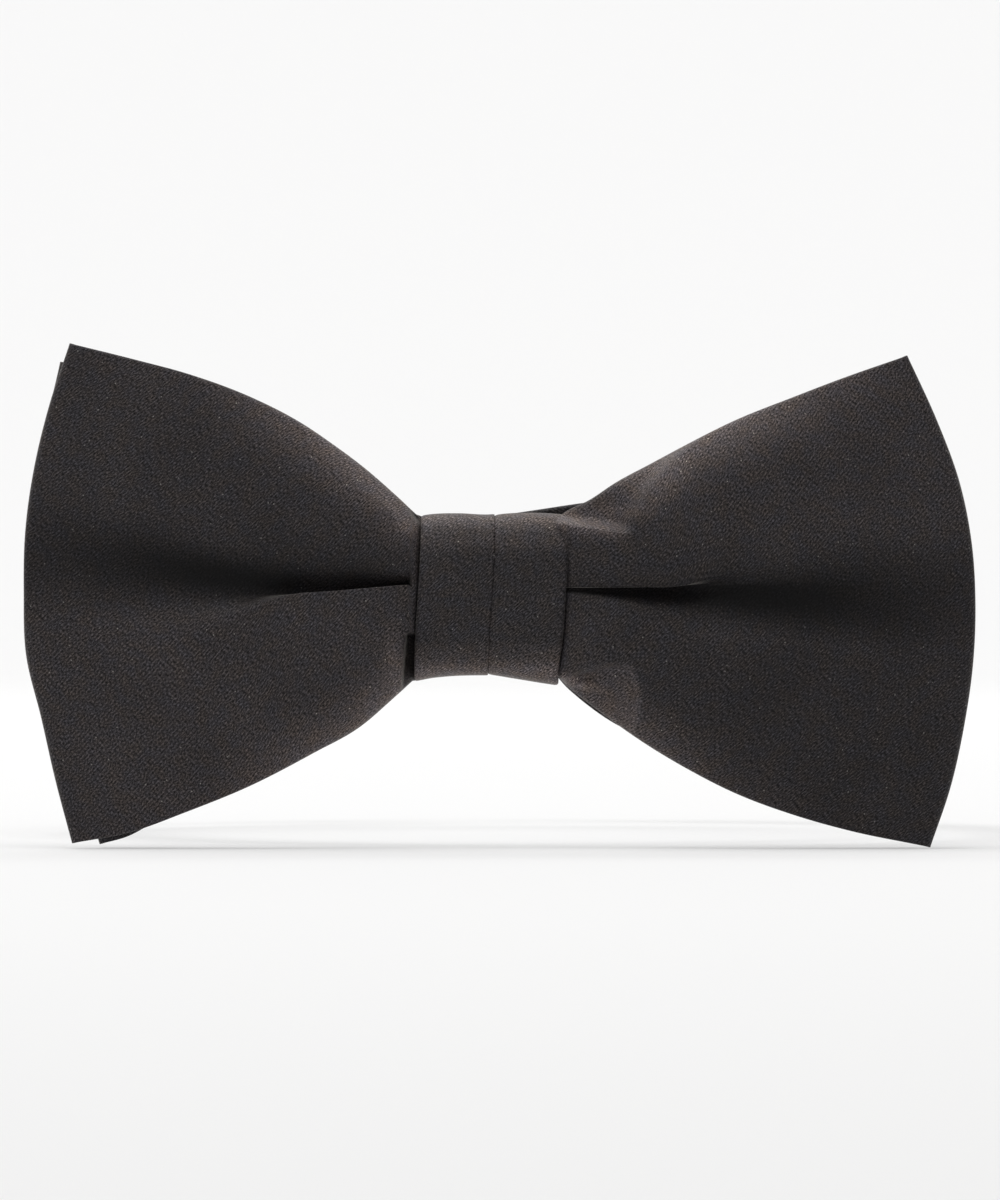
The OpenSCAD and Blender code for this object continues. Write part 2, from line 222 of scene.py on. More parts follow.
def satin_material(name, dark, light, sheen, pitch):
    """Fine satin twill. Its UV map is the cloth laid flat, in millimetres."""
    paint = Paint(name)
    ramp, mix = paint.ramp, paint.mix
    uv = paint.add("ShaderNodeUVMap")
    uv.uv_map = "cloth"
    cloth = uv.outputs[0]
    turned = paint.add("ShaderNodeMapping", Vector=cloth, Rotation=(0, 0, math.radians(45))).outputs[0]
    per_mm = 2 * math.pi / 20                 # a wave texture of this scale has one line in a millimetre
    twill = paint.wave(turned, "X", Scale=per_mm / pitch, Distortion=0.6, Detail=1.0, Detail_Scale=2.0)
    # Grain drawn out along the floats of the weave, and the yarns that cross them.
    floats = paint.add("ShaderNodeMapping", Vector=turned, Scale=(1.0, 0.42, 1.0)).outputs[0]
    grain = paint.noise(floats, 6.6, 1.5)
    weft = paint.wave(turned, "Y", Scale=per_mm / (pitch * 0.62), Distortion=1.2, Detail=1.0)

    middle = tuple((a + b) / 2.5 for a, b in zip(dark, light))
    woven = ramp(grain, (0.30, dark), (0.52, middle), (0.72, light))
    cast = ramp(paint.noise(cloth, 0.45, 3.0), (0.35, (0.95, 0.97, 1.10)), (0.65, (1.09, 1.00, 0.96)))
    broad = ramp(paint.noise(cloth, 0.09, 3.0), (0.3, 0.86), (0.7, 1.12))
    for layer in (cast, broad, ramp(twill, (0.2, 0.74), (0.8, 1.20)), ramp(weft, (0.1, 0.86), (0.9, 1.09))):
        woven = mix("MULTIPLY", 1.0, woven, layer)

    # Sparse pale lint: the middles of a few cells.
    cells = paint.add("ShaderNodeTexVoronoi", Vector=cloth, Scale=1.1)
    near = ramp(cells.outputs["Distance"], (0.06, 1), (0.11, 0))
    chosen = ramp(cells.outputs["Color"], (0.62, 0), (0.70, 1))
    specked = mix("MIX", mix("MULTIPLY", 1.0, near, chosen), woven, (0.22, 0.21, 0.20, 1))

    # Painted shade: the base colour is darkened by fold_shade at the bottoms of the folds, where less light
    # reaches.
    painted_crease_shade = ramp(paint.attribute("fold_shade"), (0.0, 1), (1.0, (0.06, 0.06, 0.065)))
    dimmed = mix("MULTIPLY", 1.0, specked, painted_crease_shade)
    # Painted highlight: the base colour is lightened and warmed by fold_light on the rolled edges and ridges of
    # the folds.
    painted_highlight_mask = ramp(paint.attribute("fold_light"), (0.0, 0), (1.0, 1))
    painted_highlight_colour = mix("MULTIPLY", 1.0, dimmed, (3.4, 3.15, 2.9, 1))

    fine = paint.bump(twill, 0.5, 0.03)
    rough = ramp(grain, (0.34, 0.66), (0.68, 0.50))
    coarse = paint.bump(grain, 0.6, 0.08, Normal=fine)
    paint.set(paint.shader, Base_Color=mix("MIX", painted_highlight_mask, dimmed, painted_highlight_colour), Roughness=rough, Normal=coarse,
              Specular_IOR_Level=0.13, Sheen_Weight=sheen, Sheen_Roughness=0.30,
              Sheen_Tint=(1.0, 0.95, 0.88, 1))
    return paint.material


def metal_material():
    """Black enamel on wire, a little uneven in colour and gloss all over."""
    paint = Paint("black_enamel")
    grain = paint.noise(paint.add("ShaderNodeTexCoord").outputs["Object"], 900.0, 4.0)
    colour = paint.ramp(grain, (0.35, (0.012, 0.012, 0.013)), (0.72, (0.035, 0.034, 0.034)))
    gloss = paint.add("ShaderNodeMapRange", Value=grain, To_Min=0.24, To_Max=0.42).outputs["Result"]
    paint.set(paint.shader, Base_Color=colour, Roughness=gloss, Normal=paint.bump(grain, 0.15, 0.03),
              Specular_IOR_Level=0.55)
    return paint.material


def thread_material():
    """Twisted sewing thread."""
    paint = Paint("sewing_thread")
    twist = paint.wave(paint.add("ShaderNodeTexCoord").outputs["Object"], "DIAGONAL", Scale=900.0)
    colour = paint.ramp(twist, (0.0, (0.010, 0.009, 0.009)), (1.0, (0.036, 0.033, 0.032)))
    paint.set(paint.shader, Base_Color=colour, Normal=paint.bump(twist, 0.5, 0.05), Roughness=0.6)
    return paint.material


BOW_SATIN = satin_material("bow_satin", (0.0017, 0.0015, 0.0015), (0.0805, 0.0735, 0.0735), 0.28, 0.40)
KNOT_SATIN = satin_material("knot_satin", (0.0012, 0.0011, 0.0011), (0.074, 0.068, 0.068), 0.28, 0.36)
BAND_SATIN = satin_material("band_satin", (0.0016, 0.0014, 0.0014), (0.070, 0.065, 0.064), 0.24, 0.40)
ENAMEL = metal_material()
THREAD = thread_material()

# ---- Mesh helpers


def smoothstep(x):
    x = np.clip(x, 0, 1)
    return x * x * (3 - 2 * x)


def bell(x):
    return np.exp(-x * x)


def unit(vectors):
    return vectors / np.maximum(np.linalg.norm(vectors, axis=-1, keepdims=True), 1e-9)


def round_ring(points):
    """The way along a closed ring at each of its points."""
    return np.roll(points, -1, axis=0) - np.roll(points, 1, axis=0)


def lengths_along(points):
    """How far along a path each of its points is."""
    return np.concatenate([[0], np.cumsum(np.linalg.norm(np.diff(points, axis=0), axis=1))])


def curve_through(points):
    """A smooth function through a few (place, value) points."""
    xs, ys = (np.array(c, float) for c in zip(*points))
    slopes = np.gradient(ys, xs)

    def value(x):
        x = np.clip(x, xs[0], xs[-1])
        i = np.clip(np.searchsorted(xs, x) - 1, 0, len(xs) - 2)
        h = xs[i + 1] - xs[i]
        t = (x - xs[i]) / h
        return ((2 * t**3 - 3 * t**2 + 1) * ys[i] + (t**3 - 2 * t**2 + t) * h * slopes[i]
                + (3 * t**2 - 2 * t**3) * ys[i + 1] + (t**3 - t**2) * h * slopes[i + 1])
    return value


def add_mesh(name, verts, faces, material):
    """A smooth mesh with one material."""
    mesh = bpy.data.meshes.new(name)
    mesh.from_pydata(verts, [], faces)
    for p in mesh.polygons:
        p.use_smooth = True
    mesh.materials.append(material)
    return add_object(name, mesh)


def point_outwards(obj):
    """Turns the mesh's faces so that they face out."""
    work = bmesh.new()
    work.from_mesh(obj.data)
    bmesh.ops.recalc_face_normals(work, faces=work.faces)
    work.to_mesh(obj.data)
    work.free()


def grid_object(name, points, uvs, material, slot, closed=True, **attributes):
    """A mesh of quads on a grid of points, [u][v], in millimetres, with a flat-cloth UV map.

    It's closed along v, and either closed or capped along u. attributes are values at its points.
    """
    nu, nv = points.shape[:2]
    if uvs is None:
        uvs = np.zeros((nu, nv, 2))
    faces = [((i, j), (i + 1, j), (i + 1, j + 1), (i, j + 1)) for i in range(nu if closed else nu - 1)
             for j in range(nv)]
    if not closed:
        faces.append([(0, j) for j in range(nv)])
        faces.append([(nu - 1, j) for j in reversed(range(nv))])
    quads = [[(a % nu) * nv + b % nv for a, b in face] for face in faces]
    obj = add_mesh(name, (points.reshape(-1, 3) * MM).tolist(), quads, material)
    layer = obj.data.uv_layers.new(name="cloth")
    flat = [uvs[min(a, nu - 1), min(b, nv - 1)] for face in faces for a, b in face]
    layer.data.foreach_set("uv", np.array(flat, np.float32).ravel())
    for layer_name, values in attributes.items():
        folds = obj.data.attributes.new(layer_name, "FLOAT", "POINT")
        folds.data.foreach_set("value", np.clip(values, 0, 1).astype(np.float32).ravel())
    point_outwards(obj)
    return obj


make_camera()
make_floor(paper_material())
make_light()

# ---- The two bows

ROOT_X = 8.0              # where the wings start, just inside the knot
KNOT_LEFT, KNOT_RIGHT = 9.12, 9.50
CENTRE_H = 8.1            # half height of the gathered cloth inside the knot


def knot_lean(z):
    """How far the knot leans over to the right at a height."""
    return 0.15 - 0.83 * smoothstep((9.0 - z) / 19.0)


def knot_right(z):
    """Where the knot's right side is at a height; it draws in at the bottom."""
    return KNOT_RIGHT + knot_lean(z) - 0.42 * smoothstep((-4.0 - z) / 6.0)


NONE = ((0, 0), (1, 0))


class Wing:
    """One side of one layer of a bow, as seen from the front. All lengths are in millimetres.

    top and bottom give the edges' heights against distance from the knot's middle, and outer_edge the
    outer edge's distance against height from -1 to 1. The rest go from 0 at the knot to 1 at the tip:
    crease is the pleat's height, curl_top and curl_bottom are how far the edges fall away, and
    inset_top and inset_bottom how far this layer's edges lie inside the outline.
    """

    def __init__(self, side, fold_r, **points):
        self.side = side
        self.fold_r = fold_r
        for name in ("top", "bottom", "outer_edge", "crease", "curl_top", "curl_bottom", "inset_top",
                     "inset_bottom"):
            setattr(self, name, curve_through(points.get(name, NONE)))

    def outer(self, height):
        return self.outer_edge(height) - self.fold_r

    def edge_places(self, u):
        """Heights of a column's upper and lower ends."""
        x_top = ROOT_X + u * (self.outer(1.0) - ROOT_X)
        x_bottom = ROOT_X + u * (self.outer(-1.0) - ROOT_X)
        return self.top(x_top) - self.inset_top(u), self.bottom(x_bottom) + self.inset_bottom(u)


CURL_LENGTH = 8.5
MOST_ROLL = math.radians(86)       # how far round the cloth's edge turns
EDGE_ROLL = curve_through([(0, 0.9), (0.4, 0.7), (0.8, 0.35), (1, 0.3)])     # the radius of that turn


def section(wing, u, s, depth):
    """A column of cloth: x, z, depth, painted shade and painted highlight at the places s across it, from -1 to 1.
    """
    v = max(u, 0.0)
    z_top, z_bottom = wing.edge_places(v)
    # Inside the knot the cloth is drawn together.
    tuck = smoothstep((u + 0.10) / 0.10)
    z_top = CENTRE_H + (z_top - CENTRE_H) * tuck
    z_bottom = -CENTRE_H + (z_bottom + CENTRE_H) * tuck
    crease = wing.crease(v) * tuck
    up = s > 0
    roll = EDGE_ROLL(v) * (0.5 + 0.5 * tuck)
    half = np.where(up, z_top - crease, crease - z_bottom)
    straight = half - roll * math.sin(MOST_ROLL)
    place = np.abs(s) * (straight + roll * MOST_ROLL)
    turn = np.clip((place - straight) / roll, 0, MOST_ROLL)
    z_abs = np.minimum(place, straight) + roll * np.sin(turn)
    z = crease + np.where(up, z_abs, -z_abs)
    back = -roll * (1 - np.cos(turn))
    curl = np.where(up, wing.curl_top(v), wing.curl_bottom(v)) * tuck
    near_edge = np.clip(1 - (half - z_abs) / CURL_LENGTH, 0, 1)
    back = back - curl * near_edge ** 2.4
    # Painted highlight along the edges where they curl away.
    light = np.clip(curl / 3.2, 0, 1.15) * near_edge ** 2.0
    height = np.clip((z - z_bottom) / (z_top - z_bottom) * 2 - 1, -1, 1)
    if u >= 0:
        x = ROOT_X + u * (wing.outer(height) - ROOT_X)
    else:
        x = np.full_like(s, ROOT_X * (1 + u / 0.35))
    f, lift, shade, more_light = depth(wing, v, s, x, z, tuck)
    return x, z + lift, back + f, shade, light + more_light


def curves(**points):
    return SimpleNamespace(**{name: curve_through(p) for name, p in points.items()})


# The pleat down the middle of each front wing, from 0 at the knot to 1 at the tip. Its lip laps over
# its steep side, sharp wide, and its other side comes up softly. Its painted shade has a strength, a
# centre's height and a width, and runs on more weakly into the pleat (tail) and back over the lip (over).
PLEAT_SOFT = curve_through([(0, 1.2), (0.15, 1.7), (0.35, 3.2), (0.6, 6.0), (1, 9)])
LEFT_PLEAT = curves(
    depth=[(0, 1.6), (0.12, 2.8), (0.3, 3.0), (0.45, 2.0), (0.65, 1.5), (1, 0.6)],
    sharp=[(0, 0.20), (0.25, 0.27), (0.32, 0.40), (0.40, 0.75), (0.47, 1.5), (0.6, 3.1), (1, 7)],
    strength=[(0, 0.7), (0.1, 0.5), (0.25, 0.12), (0.35, 0.74), (0.45, 0.98), (0.64, 0.94), (0.82, 0.67),
              (1, 0.44)],
    centre=[(0, 1.8), (0.15, 1.6), (0.3, 1.75), (0.5, 2.6), (0.7, 4.1), (1, 5.9)],
    width=[(0, 0.7), (0.15, 1.0), (0.3, 1.85), (0.5, 3.0), (0.7, 4.2), (1, 5.8)],
    tail=[(0, 0.2), (0.08, 0.35), (0.15, 0.7), (0.25, 0.68), (0.35, 0.63), (0.45, 0.36), (0.6, 0.2),
          (0.8, 0.05), (1, 0)],
    tail_length=[(0, 3.4), (0.15, 4.2), (0.25, 5.8), (0.35, 5.8), (0.45, 8.5), (0.6, 12), (1, 12)])
RIGHT_PLEAT = curves(
    depth=[(0, 1.6), (0.12, 2.8), (0.27, 2.9), (0.38, 1.7), (0.46, 1.5), (0.65, 1.4), (1, 0.6)],
    sharp=[(0, 0.20), (0.25, 0.27), (0.32, 0.38), (0.40, 0.95), (0.47, 1.7), (0.6, 3.1), (1, 7)],
    strength=[(0, 0.75), (0.1, 0.85), (0.3, 0.80), (0.45, 0.99), (0.64, 0.94), (0.82, 0.67), (1, 0.44)],
    centre=[(0, 0.9), (0.15, 0.45), (0.3, 0.2), (0.5, 0.0), (0.7, -0.2), (1, -0.2)],
    width=[(0, 0.15), (0.15, 0.6), (0.3, 1.45), (0.5, 2.9), (0.7, 5.3), (1, 8.0)],
    tail=[(0, 0.2), (0.13, 0.3), (0.28, 0.36), (0.4, 0.56), (0.47, 0.60), (0.58, 0.42), (0.7, 0.22), (1, 0)],
    tail_length=[(0, 3.5), (0.28, 5.0), (0.4, 5.4), (0.47, 6.2), (0.58, 6.8), (1, 7.5)],
    over=[(0, 0.5), (0.13, 0.62), (0.28, 0.62), (0.4, 0.6), (0.47, 0.3), (0.58, 0.15), (0.7, 0.06), (1, 0)],
    over_length=[(0, 2.3), (0.2, 2.4), (0.28, 2.5), (0.4, 3.4), (0.47, 8), (1, 9)])


def pleat_shade(pleat, left, v, z, q, sharp):
    """The shade painted into the base colour in a pleat and past both its sides. q is the distance into the pleat
    from its lip.
    """
    shade = pleat.strength(v) * np.exp(-np.abs((z - pleat.centre(v)) / pleat.width(v)) ** 2.4)
    under = smoothstep((q + 0.10 + (1.2 if left else 2.5) * sharp) / (0.12 + 0.7 * sharp))
    tail = pleat.tail(v) * np.exp(-(np.maximum(q, 0) / pleat.tail_length(v)) ** (2 if left else 3))
    if left:
        tail = tail * (0.5 + 0.5 * smoothstep(q / 2.0)) * under
    else:
        back = pleat.over(v) * np.exp(np.minimum(q, 0) / pleat.over_length(v))
        tail = tail * smoothstep((q + 0.3) / 0.6) + back * (1 - smoothstep((q + 0.2) / 0.8))
    # Painted shade on the steep side under the far end of the lip, where the lip no longer reaches over it.
    wall = smoothstep((q + 1.5 * sharp) / (0.9 * sharp)) * (1 - smoothstep((q - 0.3) / 0.8))
    return np.maximum(1 - (1 - shade * under) * (1 - tail), 0.6 * bell((v - 0.38) / 0.07) * wall)


def front_depth(wing, v, s, x, z, tuck):
    """How far the front layer stands forward of its place at the knot, its lift, its painted shade and its painted
    highlight.
    """
    left = wing.side < 0
    pleat = LEFT_PLEAT if left else RIGHT_PLEAT
    soft, sharp = PLEAT_SOFT(v), pleat.sharp(v)
    if left:                                              # this pleat ends just short of the knot
        stop = smoothstep((x - 10.05) / 0.45)
        fade = (v - 0.18) / 0.42
    else:                                                 # this one closes up towards it
        stop = 0.35 + 0.65 * smoothstep(v / 0.28)
        fade = (v - 0.25) / 0.16
        soft *= stop
    swell = 2.0 * v + 4.8 * math.sin(math.pi * v**0.60) ** 0.95
    lobes = swell * (1 - 0.22 * np.abs(s) ** 2.2)
    q = (wing.crease(v) - z) * wing.side                  # distance into the pleat, from the lip over it
    sunk = pleat.depth(v) * np.where(q > 0, np.exp(-np.abs(q / soft) ** 1.5), bell(q / sharp)) * stop
    # The lip stands out a little and reaches across the pleat, over its steep side.
    lip = (0.45 if left else 0.12) * bell((v - 0.22) / 0.24) * bell((q + 1.6 * sharp) / 1.3)
    reach = (0.12 + 2.3 * min(sharp, 0.4)) * (1 - smoothstep(fade))
    over = smoothstep((q + 5) / 3.5) * (1 - smoothstep((q + 1.9 * sharp) / (1.7 * sharp + 0.12)))
    lift = -wing.side * reach * over * stop
    shade = pleat_shade(pleat, left, v, z, q, sharp) * (stop if left else 1)
    # The small folds beside the knot add depth, painted shade and painted highlight.
    more, dark, light = (left_folds if left else right_folds)(x, z)
    return lobes + (lip - sunk + more) * tuck, lift * tuck, np.maximum(shade, dark), light


def plain_depth(wing, v, s, x, z, tuck):
    """A layer that is hidden behind another one, with a painted shade along its crease."""
    swell = 0.5 * math.sin(math.pi * v)
    q = z - wing.crease(v)
    return (swell * (1 - 0.4 * np.abs(s) ** 2) - 0.5 * bell(q / (1.2 + 6 * v)) * (1 - v) * tuck, 0 * s,
            0.25 * bell(q / (1.0 + 5 * v)) * (1 - 0.5 * v), 0 * s)


def left_folds(x, z):
    """The small folds beside the knot on the left wing: their height, painted shade and painted highlight."""
    # A gap beside the knot, low down, with the wing's fold turned in around it.
    edge = 10.95 + 0.09 * (-4.5 - z)
    gap = smoothstep((edge - x) / 0.35) * smoothstep((-4.3 - z) / 0.4)
    # A thin painted dark line along the knot's edge, with a slight dip.
    seam = bell((x - KNOT_LEFT + knot_lean(z) - 0.10) / 0.17) * smoothstep((10.5 - z) / 0.5)
    lip = bell((x - 12.4) / 1.2) * bell((z + 7.2) / 3.4)
    ridge = 0.45 * bell((z - 8.2 - 0.80 * (x - 10)) / 1.6) * bell((x - 14) / 6)
    # A small dip at the knot's upper corner, painted dark.
    notch = bell((x - 9.6 - 0.7 * (z - 10.2)) / 0.40) * bell((z - 10.2) / 0.8)
    # Painted highlights on the lip beside the gap, along the top edge near the knot, and faintly low and mid wing.
    light = (0.40 * lip + 0.75 * bell((x - 10.6) / 1.4) * bell((z - 9.2) / 1.0)) * (1 - gap)
    light += 0.45 * bell((x - 12.0) / 3.0) * smoothstep((z - 9.3 - 0.9 * (x - 12)) / 3.0)
    light += 0.05 * smoothstep((-1 - z) / 4) * smoothstep((x - 12) / 4)
    light += 0.05 * bell((z + 2.2) / 2.0) * smoothstep((x - 21) / 6)
    # Painted shade in the gap, the notch and the line along the knot.
    dark = np.maximum(0.42 * gap + 0.4 * gap * smoothstep((-6 - z) / 3), np.maximum(0.95 * notch, 0.8 * seam))
    return -2.6 * gap + 0.7 * lip + ridge - 1.2 * notch - 0.3 * seam, dark, light * (1 - seam)


def right_folds(x, z):
    """The small folds beside the knot on the right wing: their height, painted shade and painted highlight."""
    # Above a short ridge that runs out from the knot's upper corner, the cloth lies lower and flat,
    # and rises again along an arc that reaches the upper edge.
    line = 9.0 - 0.16 * (x - 9.2)
    arc = 18.4 + 0.30 * (z - 10) + 0.05 * (z - 10) ** 2
    hollow = smoothstep((z - line) / 1.5) * smoothstep((arc - x) / 2.2)
    ridge = bell((z - line - 0.3) / 0.9) * smoothstep((18.2 - x) / 4.0)
    # Low down, the cloth falls away towards the knot from a curved fold.
    fold = 19.0 - 0.055 * (z + 13.0) ** 2
    away = fold - x
    zone = smoothstep((-7.9 - 0.36 * np.clip(14 - x, 0, 5) - z) / 1.3)
    bulge = np.where(away > 0, 1 - np.exp(-np.maximum(away, 0) / 2.6), 0) * zone
    crest = 0.35 * bell((x - fold - 0.5) / 1.0) * smoothstep((-8.4 - z) / 1.3)
    streak = bell((z + 10.2 + 0.24 * (x - 8.5)) / 0.7) * smoothstep((15 - x) / 5)
    # Painted shade over the lower part of the wing, less where the cloth falls away by the knot.
    lower = 0.28 * smoothstep((-2 - z) / 6) * smoothstep((x - 18) / 8)
    lower += 0.16 * smoothstep((0.5 - z) / 2) * smoothstep((x - 11) / 3) * (1 - smoothstep((x - 18) / 6))
    lower *= 1 - smoothstep(away / 0.6) * zone
    # A thin painted dark line along the knot's right edge, with a slight dip.
    seam = bell((x - knot_right(z) - 0.08) / 0.15) * smoothstep((8.0 - z) / 1.0)
    # Painted highlights on the ridge, hollow, low streak by the knot, upper edge, curved fold and upper wing.
    light = 0.90 * bell((z - line - 0.6) / 1.4) * smoothstep((18.2 - x) / 4.0) + 0.14 * hollow + 1.0 * streak
    light += 0.36 * bell((z - 10.9) / 0.9) * bell((x - 15.6) / 4.0)
    light += 0.40 * smoothstep(away / 0.6) * zone * np.exp(-np.maximum(away, 0) / 7)
    light += 0.2 * bell((x - arc - 0.8) / 1.6) * smoothstep((z - 9.5) / 2.5)
    light += 0.03 * smoothstep((z - 4) / 5) * smoothstep((x - 18) / 6)
    light += 0.15 * smoothstep((z - 12.0 - 0.43 * (x - 24.5)) / 7) * bell((x - 32) / 12)
    return (-2.1 * hollow + 0.7 * ridge - 2.3 * bulge + crest + 1.0 * streak - 0.2 * seam,
            np.maximum(lower, 0.45 * seam), light * (1 - seam))


LEFT_CREASE = [(0, 1.5), (0.08, 1.3), (0.15, 1.0), (0.25, 0.6), (0.35, 0.5), (0.42, 0.5), (0.5, 0.42),
               (0.6, 0.5), (0.8, 1.6), (1, 2.8)]
RIGHT_CREASE = [(0, 1.2), (0.12, 1.3), (0.25, 1.55), (0.36, 1.55), (0.45, 1.65), (0.7, 1.7), (1, 1.0)]
LEFT = dict(
    side=-1, fold_r=1.3, crease=LEFT_CREASE,
    top=[(8, 9.2), (9.2, 10.2), (12, 12.8), (16, 16.3), (20, 19.3), (24, 22.0), (30, 25.1), (38, 28.1),
         (45, 30.0), (53, 32.0)],
    bottom=[(8, -8.9), (9.2, -9.8), (12, -12.3), (16.5, -16.2), (22.5, -19.6), (30, -23.5), (39, -27.2),
            (45, -29.4), (53, -31.0)],
    outer_edge=[(-1, 53.0), (-0.75, 55.1), (-0.5, 56.9), (-0.25, 58.8), (0, 59.1), (0.25, 58.9), (0.5, 57.8),
                (0.75, 55.9), (1, 53.3)])
RIGHT = dict(
    side=1, fold_r=1.3, crease=RIGHT_CREASE,
    top=[(8, 9.9), (9.2, 10.8), (12.4, 12.4), (15.4, 14.4), (20, 16.9), (24.5, 19.3), (30.5, 22.3),
         (38, 25.3), (44, 27.6), (52, 30.4)],
    bottom=[(8, -9.7), (9.2, -11.1), (10.9, -12.6), (12.7, -14.0), (18.5, -17.8), (24.5, -21.2),
            (30.5, -24.2), (38, -27.1), (45.6, -29.4), (55.3, -31.5)],
    outer_edge=[(-1, 55.3), (-0.75, 57.9), (-0.5, 59.6), (-0.25, 60.7), (0, 61.0), (0.25, 60.5), (0.5, 58.9),
                (0.75, 56.0), (1, 52.4)])
NESTED = [(0, 1.6), (0.25, 1.2), (0.5, 0.6), (0.8, 0.1), (1, 0)]
NESTED_TWICE = [(0, 1.2), (0.3, 0.9), (0.7, 0.1), (1, 0)]

FRONT_LEFT = Wing(
    **LEFT,
    curl_top=[(0, 3.0), (0.1, 3.8), (0.25, 3.7), (0.4, 2.1), (0.55, 1.0), (0.75, 0.3), (1, 0)],
    curl_bottom=[(0, 2.0), (0.1, 3.2), (0.3, 2.3), (0.45, 1.2), (0.6, 0.7), (0.8, 0.3), (1, 0)])
FRONT_LEFT_BACK = Wing(**LEFT, inset_top=NESTED, inset_bottom=NESTED)
FRONT_RIGHT = Wing(
    **RIGHT,
    curl_top=[(0, 0.2), (0.15, 0.5), (0.25, 2.0), (0.4, 2.5), (0.6, 2.0), (0.8, 1.2), (1, 0.3)],
    curl_bottom=[(0, 0.3), (0.1, 1.2), (0.25, 2.2), (0.45, 1.2), (0.7, 0.4), (1, 0)],
    inset_bottom=[(0, 0.1), (0.06, 0.25), (0.13, 0.25), (0.2, 0), (1, 0)])
FRONT_RIGHT_BACK = Wing(**RIGHT, inset_top=NESTED,
                        inset_bottom=[(0, 0), (0.16, 0), (0.3, 0.8), (0.6, 0.4), (1, 0)])
REAR_LEFT = Wing(
    side=-1, fold_r=1.2, crease=LEFT_CREASE,
    top=[(8, 10.0), (9.2, 10.7), (10.6, 11.3), (16, 14.8), (24, 20.2), (34, 25.1), (44, 28.0), (54.8, 29.9)],
    bottom=[(8, -8.5), (9.2, -9.4), (16.5, -15.2), (22.5, -18.6), (30, -22.6), (39, -26.6), (43, -28.6),
            (46, -30.2), (50, -31.3)],
    outer_edge=[(-1, 49.8), (-0.5, 54.5), (0, 57.8), (0.5, 58.0), (1, 54.8)],
    inset_top=[(0, 0.1), (0.06, 0.5), (0.3, 0.9), (0.7, 0.1), (1, 0)], inset_bottom=NESTED_TWICE)
REAR_RIGHT = Wing(
    side=1, fold_r=1.2, crease=RIGHT_CREASE,
    top=[(8, 8.8), (9.2, 9.7), (16, 13.6), (24, 18.0), (34, 22.8), (44, 26.6), (51, 28.8)],
    bottom=[(8, -9.0), (9.2, -10.2), (12.4, -13.4), (18.5, -17.4), (30, -23.2), (42, -27.6), (54.3, -31.0)],
    outer_edge=[(-1, 54.3), (-0.5, 58.2), (0, 59.6), (0.5, 57.6), (1, 51.0)],
    inset_top=NESTED_TWICE, inset_bottom=NESTED_TWICE)


def wing_columns(front_wing, back_wing, s, us, front_at, back_at, depth):
    """One half of a bow's loop: out along the front layer, round the fold, and back along the back layer."""
    gap = front_at - back_at
    fold_r = front_wing.fold_r
    front = [section(front_wing, u, s, depth) for u in us]
    behind = [section(back_wing, u, s, plain_depth) for u in us]
    tip_x, tip_z, tip_f, tip_shade, tip_light = front[-1]
    # The edges run on at their own slope round the fold, so that its corners are sharp.
    slope = np.clip((tip_z - front[-4][1]) / np.maximum(tip_x - front[-4][0], 1e-6), -1, 1)
    centre = np.mean(tip_f) - fold_r
    radius = tip_f - centre
    columns = list(front)
    for a in np.linspace(0, math.pi, 17)[1:-1]:
        out = fold_r * math.sin(a)
        columns.append((tip_x + out, tip_z + slope * out, centre + radius * math.cos(a),
                        tip_shade * max(0.0, math.cos(a)), tip_light))
    for u, (x, z, f, shade, light) in list(zip(us, behind))[::-1]:
        v = max(u, 0.0)
        place = -gap * (1 - v) + (centre - radius) * v
        columns.append((x, z, place - f * (1 - v), shade, light))
    points = np.array([np.stack([front_wing.side * c[0], -(front_at + c[2]), c[1]], axis=1) for c in columns])
    return points, np.array([c[3:] for c in columns]).transpose(0, 2, 1)


